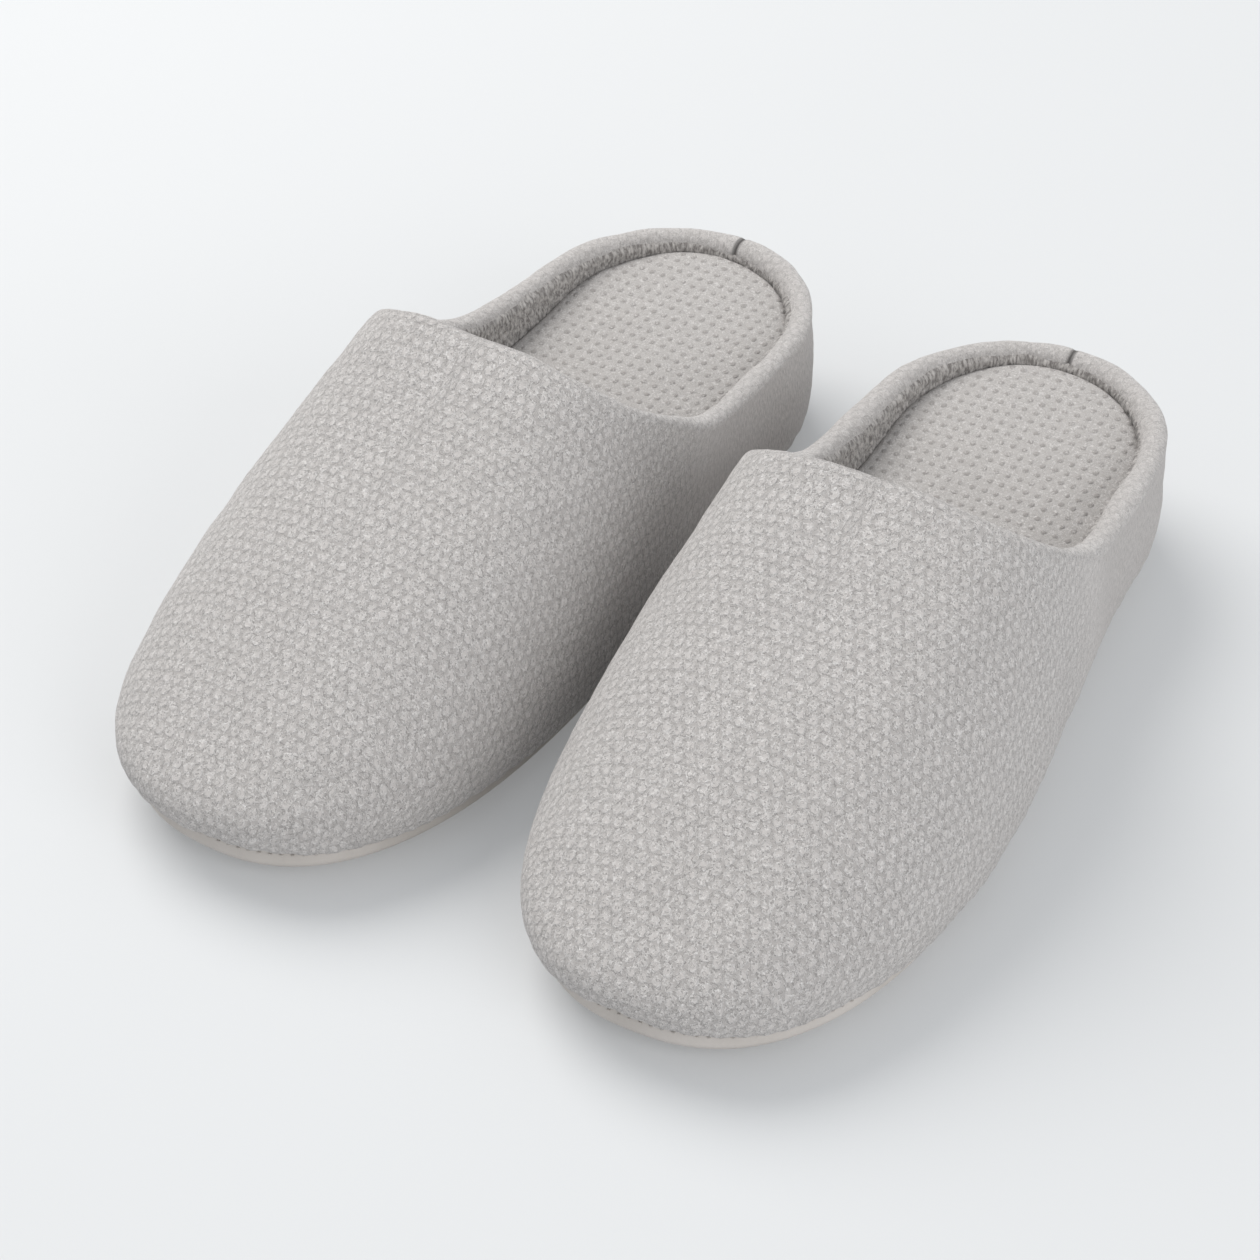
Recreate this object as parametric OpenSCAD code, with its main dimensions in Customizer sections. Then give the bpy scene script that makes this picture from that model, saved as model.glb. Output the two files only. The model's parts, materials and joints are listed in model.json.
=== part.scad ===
/* [Slipper] */
// Outer length of one slipper, toe to heel
length = 272; // [250:1:290]
// Half of the outer width at the ball of the foot
ball_half_width = 57; // [50:1:60]
// Half of the outer width at the heel
heel_half_width = 43.5; // [40:0.5:48]
// Length of the round toe, which is also where the sole flexes
toe_length = 100; // [85:1:110]
// Length of the round heel
heel_length = 49; // [40:1:55]
// Squareness of the toe curve, 2 is an ellipse
toe_power = 2.45; // [2:0.05:2.8]
// How far the toe tip leans to the inner side
toe_lean = 1; // [0:1:8]

/* [Upper] */
// Height of the widest line above the floor
belly_height = 20; // [18:1:24]
// Rise of the upper above the widest line, at the toe tip
toe_rise = 21; // [18:1:28]
// Rise of the upper above the widest line, at the mouth
mouth_rise = 72; // [60:1:85]
// Distance from the toe tip to the front of the mouth
mouth_from_toe = 140; // [125:1:145]
// Distance from the toe tip to the lowest point of the top line
low_point_from_toe = 184; // [178:1:200]
// Height of the top line at its lowest point
low_point_height = 48; // [44:1:54]
// Height of the top line at the back of the heel
heel_height = 45; // [44:1:54]
// Diameter of the collar roll at the heel
collar_d = 8; // [7:0.5:9]
// Diameter of the rolled edge at the front of the mouth
mouth_edge_d = 6; // [5:0.5:7]

/* [Sole] */
// Height of the seam that joins upper and sole
seam_height = 7; // [6.5:0.5:9]
// Extra height of the sole at the toe tip
toe_spring = 6; // [3:0.5:7]
// Thickness of the outsole skin
outsole_t = 3.4; // [3:0.1:3.6]
// Height of the cushioned insole above the floor, in the toe half
insole_height = 20; // [19:0.5:21]
// How much higher the insole's wedge stands at the very back
heel_raise = 22; // [10:1:23]

/* [Pair] */
// Distance between the two slippers' centre lines
spacing = 121.5; // [121:0.5:160]
// Angle that each toe points outwards
toe_out = 2.5; // [0:0.1:6]

/* [Hidden] */
PIECES = ["outsole_heel", "outsole_toe", "midsole_heel", "midsole_toe", "shank_board",
    "insole_foam_heel", "insole_foam_toe", "insole_cover_heel", "insole_cover_toe",
    "upper_fabric", "upper_foam", "vamp_lining", "heel_lining", "heel_stiffener",
    "collar_cover", "collar_foam", "back_seam_tape", "sole_seam_thread"];

// Stations along one side of the outline: round toe, straight middle, round heel
toe_steps = 6;
mid_steps = 8;
heel_steps = 6;
last = toe_steps + mid_steps + heel_steps;
heel_start = length - heel_length;
heel_power = 2.07;
// Side profile of the upper from the belly to the ridge, at the toe and at the mouth
profile_n = [2.3, 3.6];
profile_m = [1.75, 2.1];
ridge_power = 1.4;
// Drop of the top line from the mouth to the low point
drop_power = 0.69;
drop_sharpness = 0.92;
mouth_spread = 2.6;
// How quickly the insole's wedge gains height behind the ball
wedge_power = 0.85;
// The upper is tucked in under its widest line by this much at the seam
tuck = 4;
// Clear gap between neighbouring layers
gap = 0.25;

// Each layer of the upper is [outer, inner], measured inwards from the outside
fabric_layer = [0, 1.2];
foam_layer = [1.2 + gap, 4];
vamp_lining_layer = [4 + gap, 5.2];
stiffener_layer = [4 + gap, 5.2];
heel_lining_layer = [5.2 + gap, 6.4];

// Rows of a layer, as shares of the way from the widest line to the top line
rises = [0, 0.12, 0.3, 0.55, 0.8, 1];

// The collar roll: its fabric's thickness, the angle its fabric leaves open towards the wall, and how deep
// and how many-sided its foam core is
collar_cover_t = 0.8;
collar_open = 30;
collar_foam_depth = 1.6;
collar_foam_sides = 6;

// The tape over the heel seam, and the rises it runs through
tape_width = 6;
tape_t = 0.65;
tape_rises = [0.05, 0.3, 0.6, 0.9];

// Radius of the sole seam's thread
thread_r = 0.8;

// First station whose outline point lies behind the low point
low_station = toe_steps + ceil((low_point_from_toe - toe_length) / (heel_start - toe_length) * mid_steps);

fabric_grey = [0.74, 0.73, 0.72];
lining_grey = [0.66, 0.65, 0.64];
sole_beige = [0.70, 0.67, 0.63];
foam_white = [0.90, 0.89, 0.86];
board_brown = [0.60, 0.48, 0.36];
thread_grey = [0.82, 0.81, 0.79];

function smooth(u) = u * u * (3 - 2 * u);
function mix(a, b, u) = a + (b - a) * u;
function clamp(u) = max(0, min(1, u));

// Half width of the straight middle, drawn in by inset
function mid_half_width(y, inset) =
    mix(ball_half_width, heel_half_width, smooth(clamp((y - toe_length) / (heel_start - toe_length)))) - inset;

// A point of the outline at a station, drawn in by inset, on the +X side
function outline(k, inset) =
    k <= toe_steps ?
        let (a = 90 * k / toe_steps)
        [(ball_half_width - inset) * pow(sin(a), 2 / toe_power),
         toe_length - (toe_length - inset) * pow(cos(a), 2 / toe_power)] :
    k <= toe_steps + mid_steps ?
        let (y = mix(toe_length, heel_start, (k - toe_steps) / mid_steps))
        [mid_half_width(y, inset), y] :
        let (a = 90 * (k - toe_steps - mid_steps) / heel_steps)
        [(heel_half_width - inset) * pow(cos(a), 2 / heel_power),
         heel_start + (heel_length - inset) * pow(sin(a), 2 / heel_power)];

// 0 on the middle line of the slipper, 1 on the outline drawn in by inset
function share(p, inset) =
    p[1] < toe_length ?
        pow(pow(abs(p[0]) / (ball_half_width - inset), toe_power)
            + pow((toe_length - p[1]) / (toe_length - inset), toe_power), 1 / toe_power) :
    p[1] <= heel_start ? abs(p[0]) / mid_half_width(p[1], inset) :
        pow(pow(abs(p[0]) / (heel_half_width - inset), heel_power)
            + pow((p[1] - heel_start) / (heel_length - inset), heel_power), 1 / heel_power);

function ridge(y) = toe_rise + (mouth_rise - toe_rise) * pow(clamp(y / mouth_from_toe / 1.6) * 1.6, ridge_power);
function power_n(y) = mix(profile_n[0], profile_n[1], clamp(y / mouth_from_toe));
function power_m(y) = mix(profile_m[0], profile_m[1], clamp(y / mouth_from_toe));

// Height of a layer's surface over a plan point
function cover_height(p, inset) =
    belly_height + (ridge(p[1]) - inset)
        * pow(max(0, 1 - pow(share(p, inset), power_n(p[1]))), 1 / power_m(p[1]));

// Height of the top line; front moves the mouth's edge forwards and down lowers the sides
function topline_height(y, inset, front, down) =
    let (mouth = mouth_from_toe - front,
         a = clamp((y - mouth) / (low_point_from_toe - mouth)),
         b = clamp((y - low_point_from_toe) / (length - low_point_from_toe)),
         top = belly_height + ridge(mouth) - inset,
         low = mix(low_point_height, heel_height, smooth(b)) - down)
    low + (top - low) * pow(1 - pow(a, drop_power), drop_sharpness);

// How far out the top line lies between the middle line and the outline
function topline_share(y, inset, front, down) =
    let (h = (topline_height(y, inset, front, down) - belly_height) / (ridge(y) - inset))
    pow(max(0, 1 - pow(clamp(h), power_m(y))), 1 / power_n(y));

// The top line's plan point at a station
function topline(k, inset, front, down) =
    k < low_station ?
        let (mouth = mouth_from_toe - front,
             y = mix(mouth, outline(low_station, 0)[1], pow(k / low_station, mouth_spread)))
        [topline_share(y, inset, front, down) * mid_half_width(y, inset), y] :
        let (p = outline(k, inset), s = [0, min(p[1], heel_start)])
        s + (p - s) * topline_share(p[1], inset, front, down);

// A point on a layer's surface, from the widest line at rise 0 to the top line at rise 1
function on_layer(k, rise, inset, front, down) =
    let (p = mix(outline(k, inset), topline(k, inset, front, down), pow(rise, 1.8)))
    [p[0], p[1], cover_height(p, inset)];

function sole_lift(y) = toe_spring * pow(clamp(1 - y / toe_length), 2);
function wedge(y) = heel_raise * pow(clamp((y - toe_length) / (length - toe_length)), wedge_power);

// A point under the widest line or on the sole: drawn in by inset, at a height over the sole's own line.
// With raised 1 the point stands on the insole's wedge
function on_sole(k, inset, z, raised = 0) =
    let (p = outline(k, inset)) [p[0], p[1], z + sole_lift(p[1]) + raised * wedge(p[1])];

// The toe leans towards the inner side
function lean(p) = [p[0] + toe_lean * pow(clamp(1 - p[1] / toe_length), 2), p[1], p[2]];
function flip(p, side) = [side * p[0], p[1], p[2]];

// Stations [k, side] from the -X side round the toe, round the heel, or all the way round
function round_toe(k) = [for (i = [k:-1:1]) [i, -1], for (i = [0:k]) [i, 1]];
function round_heel(k) = [for (i = [k:last]) [i, 1], for (i = [last - 1:-1:k]) [i, -1]];
all_round = [for (i = [0:last]) [i, 1], for (i = [last - 1:-1:1]) [i, -1]];

// A closed band: every station holds the same closed loop of points. An open row of stations gets flat ends
module band(loops, closed) {
    n = len(loops);
    m = len(loops[0]);
    spans = closed ? n : n - 1;
    sides = [for (c = [0:spans - 1]) for (r = [0:m - 1])
        [c * m + r, c * m + (r + 1) % m, (c + 1) % n * m + (r + 1) % m, (c + 1) % n * m + r]];
    ends = closed ? [] : [[for (r = [m - 1:-1:0]) r], [for (r = [0:m - 1]) (n - 1) * m + r]];
    triangles = [for (q = sides) each [[q[0], q[1], q[2]], [q[0], q[2], q[3]]]];
    polyhedron([for (loop = loops) each [for (p = loop) lean(p)]], concat(triangles, ends));
}

// A closed slab round the toe or the heel: its first and last rows are filled across the slipper
module slab(rows) {
    n = len(rows[0]);
    m = len(rows);
    half = (n - 1) / 2;
    sides = [for (r = [0:m - 2]) for (c = [0:n - 2])
        [r * n + c, r * n + c + 1, (r + 1) * n + c + 1, (r + 1) * n + c]];
    floor_fill = [for (c = [0:half - 2]) [n - 1 - c, n - 2 - c, c + 1, c]];
    floor_tip = [[half + 1, half, half - 1]];
    roof = (m - 1) * n;
    roof_fill = [for (q = floor_fill) [for (i = [3:-1:0]) roof + q[i]]];
    roof_tip = [[roof + half - 1, roof + half, roof + half + 1]];
    cut = [concat([for (r = [0:m - 1]) r * n], [for (r = [m - 1:-1:0]) r * n + n - 1])];
    quads = concat(sides, floor_fill, roof_fill);
    triangles = [for (q = quads) each [[q[0], q[1], q[2]], [q[0], q[2], q[3]]]];
    polyhedron([for (row = rows) each [for (p = row) lean(p)]], concat(triangles, floor_tip, roof_tip, cut));
}

// Rows of a slab from a list of [inset, height, raised]
function sole_rows(stations, profile) =
    [for (q = profile) [for (s = stations) flip(on_sole(s[0], q[0], q[1], q[2]), s[1])]];

// One station's closed loop through a layer: up the outside and down the inside
function layer_loop(s, layer, front, down) = concat(
    [flip(on_sole(s[0], layer[0] + tuck, seam_height), s[1])],
    [for (rise = rises) flip(on_layer(s[0], rise, layer[0], front, down), s[1])],
    [for (i = [len(rises) - 1:-1:0]) flip(on_layer(s[0], rises[i], layer[1], front, down), s[1])],
    [flip(on_sole(s[0], layer[1] + tuck, seam_height), s[1])]);

module layer(stations, limits, closed) {
    front = mouth_edge_d + gap;
    down = collar_d + gap;
    band([for (s = stations) layer_loop(s, limits, front, down)], closed);
}

// Middle of the collar roll, its radius, and the directions down the wall and out of it
collar_line = (fabric_layer[0] + heel_lining_layer[1]) / 2;
function collar_centre(k) = on_layer(k, 1, collar_line, mouth_edge_d / 2, collar_d / 2);
function collar_r(k) = mix(mouth_edge_d, collar_d, smooth(clamp(1.3 * k / low_station - 0.3))) / 2;
function unit(v) = v / norm(v);
function collar_loop(s, inner, outer, from, to, steps) =
    let (k = s[0],
         c = collar_centre(k),
         before = k == 0 ? flip(collar_centre(1), -1) : collar_centre(k - 1),
         after = k == last ? flip(collar_centre(k - 1), -1) : collar_centre(k + 1),
         wall = unit(on_layer(k, 0.9, collar_line, mouth_edge_d / 2, collar_d / 2) - c),
         out = unit(cross(unit(after - before), wall)),
         down = unit(cross(out, unit(after - before))),
         r = collar_r(k),
         arc = [for (i = [0:steps]) mix(from, to, i / steps)])
    concat(
        [for (a = arc) flip(c + (r - outer) * (cos(a) * down + sin(a) * out), s[1])],
        inner == undef ? [] :
            [for (i = [steps:-1:0]) flip(c + (r - inner) * (cos(arc[i]) * down + sin(arc[i]) * out), s[1])]);

// The sole's own layers lie level, so none of their rows is raised
level = 0;
raised = 1;

module outsole(stations) {
    t = outsole_t;
    rim = seam_height - gap;
    color(sole_beige) slab(sole_rows(stations,
        [[16, 0, level], [9, 0.5, level], [5.2, 3.4, level], [4.4, rim, level], [6, rim, level],
         [9.6, t + 0.9, level], [16, t, level]]));
}

module midsole(stations) {
    low = outsole_t + gap;
    rim = seam_height - gap;
    color(foam_white) slab(sole_rows(stations,
        [[16, low, level], [10.1, low + 1, level], [7.2, rim - 0.6, level], [8, rim, level], [16, rim, level]]));
}

board_t = 1.3;
board_z = seam_height + gap;

module shank_board() {
    color(board_brown) slab(sole_rows(round_heel(toe_steps),
        [[14, board_z, level], [11.5, board_z + 0.2, level], [11.5, board_z + board_t - 0.2, level],
         [14, board_z + board_t, level]]));
}

// The insole's foam, and its cover over the top and the sides
foam_z = board_z + board_t + gap;
cover_t = 1;
foam_top = insole_height - cover_t;
function insole_profile(grow) =
    [[12 - grow, foam_z + 0.4, level], [10.6 - grow, foam_z + 3, level],
     [8.9 - grow, foam_top - 2.6 + 0.4 * grow, raised], [10.4 - grow, foam_top - 1 + 0.8 * grow, raised],
     [20, foam_top + grow, raised]];

module insole_foam(stations) {
    color(foam_white) slab(sole_rows(stations, concat([[20, foam_z + 0.1, level]], insole_profile(-gap))));
}

module insole_cover(stations) {
    under = insole_profile(0);
    color(fabric_grey) slab(sole_rows(stations,
        concat([for (i = [len(under) - 1:-1:0]) under[i]], insole_profile(cover_t))));
}

module upper_fabric() {
    color(fabric_grey) layer(all_round, fabric_layer, true);
}

module upper_foam() {
    color(foam_white) layer(all_round, foam_layer, true);
}

module vamp_lining() {
    color(lining_grey) layer(round_toe(low_station), vamp_lining_layer, false);
}

module heel_lining() {
    color(lining_grey) layer(round_heel(low_station), heel_lining_layer, false);
}

module heel_stiffener() {
    color(board_brown) layer(round_heel(low_station + 1), stiffener_layer, false);
}

module collar_cover() {
    color(fabric_grey) band([for (s = all_round)
        collar_loop(s, collar_cover_t, 0, collar_open, 360 - collar_open, 6)], true);
}

module collar_foam() {
    last_side = 360 - 360 / collar_foam_sides;
    color(foam_white) band([for (s = all_round)
        collar_loop(s, undef, collar_foam_depth, 0, last_side, collar_foam_sides - 1)], true);
}

// A narrow tape over the seam at the back of the heel
module back_seam_tape() {
    half = tape_width / 2;
    strip = [for (rise = tape_rises)
        let (a = on_layer(last, rise, -gap - tape_t, mouth_edge_d, collar_d),
             b = on_layer(last, rise, -gap, mouth_edge_d, collar_d))
        [[half, a[1], a[2]], [-half, a[1], a[2]], [-half, b[1], b[2]], [half, b[1], b[2]]]];
    color(thread_grey) band(strip, false);
}

// The heavy thread that runs round the join of upper and sole
module sole_seam_thread() {
    r = thread_r;
    color(thread_grey) band([for (s = all_round)
        [for (a = [270:-90:0]) flip(on_sole(s[0], tuck - 2 * r + r * cos(a), seam_height + r * (1 + sin(a))), s[1])]],
        true);
}

module piece(name) {
    if (name == "outsole_heel") outsole(round_heel(toe_steps));
    if (name == "outsole_toe") outsole(round_toe(toe_steps));
    if (name == "midsole_heel") midsole(round_heel(toe_steps));
    if (name == "midsole_toe") midsole(round_toe(toe_steps));
    if (name == "shank_board") shank_board();
    if (name == "insole_foam_heel") insole_foam(round_heel(toe_steps));
    if (name == "insole_foam_toe") insole_foam(round_toe(toe_steps));
    if (name == "insole_cover_heel") insole_cover(round_heel(toe_steps));
    if (name == "insole_cover_toe") insole_cover(round_toe(toe_steps));
    if (name == "upper_fabric") upper_fabric();
    if (name == "upper_foam") upper_foam();
    if (name == "vamp_lining") vamp_lining();
    if (name == "heel_lining") heel_lining();
    if (name == "heel_stiffener") heel_stiffener();
    if (name == "collar_cover") collar_cover();
    if (name == "collar_foam") collar_foam();
    if (name == "back_seam_tape") back_seam_tape();
    if (name == "sole_seam_thread") sole_seam_thread();
}

// Stands a slipper in its place in the pair; the left one is the right one's mirror image
module place(side) {
    translate([side * spacing / 2, 0, 0])
        rotate([0, 0, side * toe_out])
            mirror([side > 0 ? 1 : 0, 0, 0])
                translate([0, -length / 2, 0])
                    children();
}

for (name = PIECES) {
    place(-1) piece(name);
    place(1) piece(name);
}
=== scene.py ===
"""A pair of waffle-knit spa slippers: the looks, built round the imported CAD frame. Sizes are in metres."""

import json
import math

import bpy
import numpy as np
from mathutils import Matrix, Vector


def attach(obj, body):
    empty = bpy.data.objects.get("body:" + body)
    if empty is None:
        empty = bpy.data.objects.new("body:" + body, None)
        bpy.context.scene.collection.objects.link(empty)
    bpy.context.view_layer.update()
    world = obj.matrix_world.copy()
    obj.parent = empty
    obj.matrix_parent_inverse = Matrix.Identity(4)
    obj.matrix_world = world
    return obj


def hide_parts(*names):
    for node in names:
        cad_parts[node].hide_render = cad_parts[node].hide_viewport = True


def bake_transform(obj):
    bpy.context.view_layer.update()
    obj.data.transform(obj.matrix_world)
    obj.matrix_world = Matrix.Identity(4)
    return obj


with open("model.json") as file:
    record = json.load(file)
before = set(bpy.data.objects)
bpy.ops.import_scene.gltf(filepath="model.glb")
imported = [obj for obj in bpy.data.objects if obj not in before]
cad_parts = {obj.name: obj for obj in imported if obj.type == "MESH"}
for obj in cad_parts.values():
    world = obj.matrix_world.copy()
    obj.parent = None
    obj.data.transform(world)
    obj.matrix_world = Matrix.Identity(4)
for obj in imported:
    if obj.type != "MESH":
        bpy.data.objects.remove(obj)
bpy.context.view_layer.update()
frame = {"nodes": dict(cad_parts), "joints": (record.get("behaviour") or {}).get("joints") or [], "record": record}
MM = 0.001
SIDES = {"right": -1, "left": 1}

# ---- Sizes of one slipper, the same as the CAD part's

LENGTH = 272 * MM
BALL_HALF = 57 * MM
HEEL_HALF = 43.5 * MM
TOE = 100 * MM
HEEL = 49 * MM
TOE_POWER = 2.45
HEEL_POWER = 2.07
LEAN = 1 * MM
BELLY = 20 * MM
TOE_RISE = 21 * MM
MOUTH_RISE = 72 * MM
MOUTH = 140 * MM
LOW_Y = 184 * MM
LOW_Z = 48 * MM
HEEL_Z = 45 * MM
RIDGE_POWER = 1.4
PROFILE_N = (2.3, 3.6)
PROFILE_M = (1.75, 2.1)
DROP_POWER = 0.69
DROP_SHARPNESS = 0.92
MOUTH_SPREAD = 2.6
TUCK = 4 * MM
SEAM_Z = 7 * MM
TOE_SPRING = 6 * MM
INSOLE_Z = 20 * MM
HEEL_RAISE = 22 * MM
WEDGE_POWER = 0.85
COLLAR_R = 4 * MM
MOUTH_R = 3 * MM
WALL = 6.4 * MM
SPACING = 121.5 * MM
TOE_OUT = math.radians(2.5)
HEEL_START = LENGTH - HEEL
# Station numbers round one side of the outline: toe, straight middle, heel
TOE_END, MID_END, LAST = 6.0, 14.0, 20.0
LOW_STATION = TOE_END + math.ceil((LOW_Y - TOE) / (HEEL_START - TOE) * (MID_END - TOE_END))

# ---- Cloth

CELL = 3.5 * MM
INSOLE_CELL = (3.6 * MM, 3.9 * MM)
GRID = 1.3 * MM
# Lengths along the vamp are measured no further out than this, clear of its steep sides
DRAPE_X = 40 * MM
# Where the cloth's direction turns round the heel, and where its waffle fades into brushed nap
TURN_START = 175 * MM
NAP_START = 150 * MM
NAP_LENGTH = 50 * MM
# The share of that nap on the collar roll, and the station where the terry pile starts
ROLL_NAP = 0.45
PILE_FROM = 9.0

# ---- Sole seam

SOLE_INSET = 5 * MM
# The share of the toe's lift that the underside of the sole gets
BOTTOM_LIFT = 0.55
# The upper's turned-in flap lies this far above the seam
FLAP_LIFT = 0.4 * MM
STITCH_PITCH = 3.2 * MM
STITCH_REACH = 0.55 * MM
STITCH_R = 0.28 * MM

# ---- Arcs of the collar roll in degrees that the outer skin and the terry pile cover

SKIN_ARC = (16, 236)
PILE_ARC = (138, 205)


# ---- The shape of a slipper, in its own frame: toe tip at y 0, heel at y LENGTH

def mix(a, b, u):
    return a + (b - a) * u


def clamp(u):
    return np.clip(u, 0, 1)


def smooth(u):
    u = clamp(u)
    return u * u * (3 - 2 * u)


def half_width(y, inset):
    return mix(BALL_HALF, HEEL_HALF, smooth((y - TOE) / (HEEL_START - TOE))) - inset


def outline(k, inset):
    """The plan outline at station k (an array), drawn in by inset, on the +X side."""
    a = np.pi / 2 * clamp(k / TOE_END)
    b = np.pi / 2 * clamp((k - MID_END) / (LAST - MID_END))
    y = mix(TOE, HEEL_START, clamp((k - TOE_END) / (MID_END - TOE_END)))
    toe_x = (BALL_HALF - inset) * clamp(np.sin(a)) ** (2 / TOE_POWER)
    toe_y = TOE - (TOE - inset) * clamp(np.cos(a)) ** (2 / TOE_POWER)
    heel_x = (HEEL_HALF - inset) * clamp(np.cos(b)) ** (2 / HEEL_POWER)
    heel_y = HEEL_START + (HEEL - inset) * clamp(np.sin(b)) ** (2 / HEEL_POWER)
    x = np.where(k < TOE_END, toe_x, np.where(k <= MID_END, half_width(y, inset), heel_x))
    y = np.where(k < TOE_END, toe_y, np.where(k <= MID_END, y, heel_y))
    return np.stack([x, y], -1)


def share(x, y, inset):
    """0 on the slipper's middle line, 1 on its outline drawn in by inset."""
    x = np.abs(x)
    toe = ((x / (BALL_HALF - inset)) ** TOE_POWER
           + (np.clip(TOE - y, 0, None) / (TOE - inset)) ** TOE_POWER) ** (1 / TOE_POWER)
    heel = ((x / (HEEL_HALF - inset)) ** HEEL_POWER
            + (np.clip(y - HEEL_START, 0, None) / (HEEL - inset)) ** HEEL_POWER) ** (1 / HEEL_POWER)
    return np.where(y < TOE, toe, np.where(y <= HEEL_START, x / half_width(y, inset), heel))


def ridge(y):
    return TOE_RISE + (MOUTH_RISE - TOE_RISE) * np.clip(y / MOUTH, 0, 1.6) ** RIDGE_POWER


def profile(y):
    u = clamp(y / MOUTH)
    return mix(*PROFILE_N, u), mix(*PROFILE_M, u)


def cover(x, y, inset):
    """Height of the upper's surface over a plan point."""
    n, m = profile(y)
    return BELLY + (ridge(y) - inset) * clamp(1 - share(x, y, inset) ** n) ** (1 / m)


def topline(k, inset, front, down):
    """The top line's plan points; front moves the mouth's edge forwards, down lowers the sides."""
    mouth = MOUTH - front

    def out(y):
        n, m = profile(y)
        a = clamp((y - mouth) / (LOW_Y - mouth))
        low = mix(LOW_Z, HEEL_Z, smooth((y - LOW_Y) / (LENGTH - LOW_Y))) - down
        top = BELLY + ridge(np.array(mouth)) - inset
        z = low + (top - low) * (1 - a ** DROP_POWER) ** DROP_SHARPNESS
        return clamp(1 - clamp((z - BELLY) / (ridge(y) - inset)) ** m) ** (1 / n)

    low_y = outline(np.array(LOW_STATION), 0)[1]
    y = mix(mouth, low_y, clamp(k / LOW_STATION) ** MOUTH_SPREAD)
    front_part = np.stack([out(y) * half_width(y, inset), y], -1)
    o = outline(k, inset)
    middle = np.stack([0 * k, np.minimum(o[:, 1], HEEL_START)], -1)
    back_part = middle + (o - middle) * out(o[:, 1])[:, None]
    return np.where((k < LOW_STATION)[:, None], front_part, back_part)


def wall_points(k, rise, inset, front, down):
    """The upper from its widest line (rise 0) to its top line (rise 1): stations x rises x 3."""
    o, t = outline(k, inset)[:, None], topline(k, inset, front, down)[:, None]
    p = mix(o, t, rise[None, :, None] ** 1.8)
    return np.concatenate([p, cover(p[..., 0], p[..., 1], inset)[..., None]], -1)


def sole_lift(y):
    return TOE_SPRING * clamp(1 - y / TOE) ** 2


def insole_height(y):
    return INSOLE_Z + sole_lift(y) + HEEL_RAISE * clamp((y - TOE) / (LENGTH - TOE)) ** WEDGE_POWER


def even_stations(spacing):
    """Station numbers about spacing apart along one side of the outline, from toe tip to heel."""
    fine = np.linspace(0, LAST, 4001)
    p = outline(fine, 0)
    run = np.concatenate([[0], np.cumsum(np.linalg.norm(np.diff(p, axis=0), axis=1))])
    return np.interp(np.linspace(0, run[-1], int(run[-1] / spacing)), run, fine)


def both_sides(half):
    """Mirrors a half grid (stations from toe to heel) into a closed ring."""
    other = half[-2:0:-1].copy()
    other[..., 0] *= -1
    return np.concatenate([half, other])


def lean(p):
    q = p.copy()
    q[..., 0] += LEAN * clamp(1 - q[..., 1] / TOE) ** 2
    return q


def put(side, p):
    """From a slipper's own frame to its place in the pair; the left is the right one's mirror image."""
    s = SIDES[side]
    p = lean(np.asarray(p, float))
    x, y = -s * p[..., 0], p[..., 1] - LENGTH / 2
    c, n = math.cos(s * TOE_OUT), math.sin(s * TOE_OUT)
    return np.stack([s * SPACING / 2 + x * c - y * n, x * n + y * c, p[..., 2]], -1)


def along(points):
    """Running length along the second axis of a grid whose first three channels are a place."""
    step = np.linalg.norm(np.diff(points[..., :3], axis=1), axis=-1)
    return np.concatenate([np.zeros((len(points), 1)), np.cumsum(step, axis=1)], 1)


def respace(points, count):
    """Evenly spaces each row of a grid of points by its length."""
    run = along(points)
    out = np.empty((len(points), count, points.shape[2]))
    for i, line in enumerate(points):
        where = np.linspace(0, run[i, -1], count)
        for c in range(points.shape[2]):
            out[i, :, c] = np.interp(where, run[i], line[:, c])
    return out


def relax(points, times, axis, closed, weight=None):
    """Fairs a grid along one axis; weight (0 to 1) says where."""
    p = np.moveaxis(points.copy(), axis, 0)
    w = 1.0 if weight is None else np.moveaxis(weight, axis, 0)[..., None]
    for _ in range(times):
        q = (np.roll(p, 1, 0) + np.roll(p, -1, 0)) / 2
        if not closed:
            q[0], q[-1] = p[0], p[-1]
        p = mix(p, q, 0.5 * w)
    return np.moveaxis(p, 0, axis)


def grid_normals(p, closed):
    """Unit normals of a grid, pointing out of a ring that runs from toe to heel on +X."""
    du = np.roll(p, -1, 0) - np.roll(p, 1, 0) if closed else np.gradient(p, axis=0)
    dv = np.gradient(p, axis=1)
    n = np.cross(du, dv)
    return n / np.maximum(np.linalg.norm(n, axis=-1, keepdims=True), 1e-12)


# ---- Smooth noise, the same each run

def waves(p, size, seed, octaves=3):
    """Soft noise between about -1 and 1 over points p, with features of about the given size."""
    rng = np.random.default_rng(seed)
    total, gain = 0.0, 1.0
    for octave in range(octaves):
        for _ in range(5):
            direction = rng.normal(size=p.shape[-1])
            direction *= 2 ** octave / size / np.linalg.norm(direction) * rng.uniform(0.6, 1.3)
            total = total + gain * np.sin(2 * np.pi * (p @ direction) + rng.uniform(0, 6.28))
        gain *= 0.5
    return total / 3.2


# ---- Meshes

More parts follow.
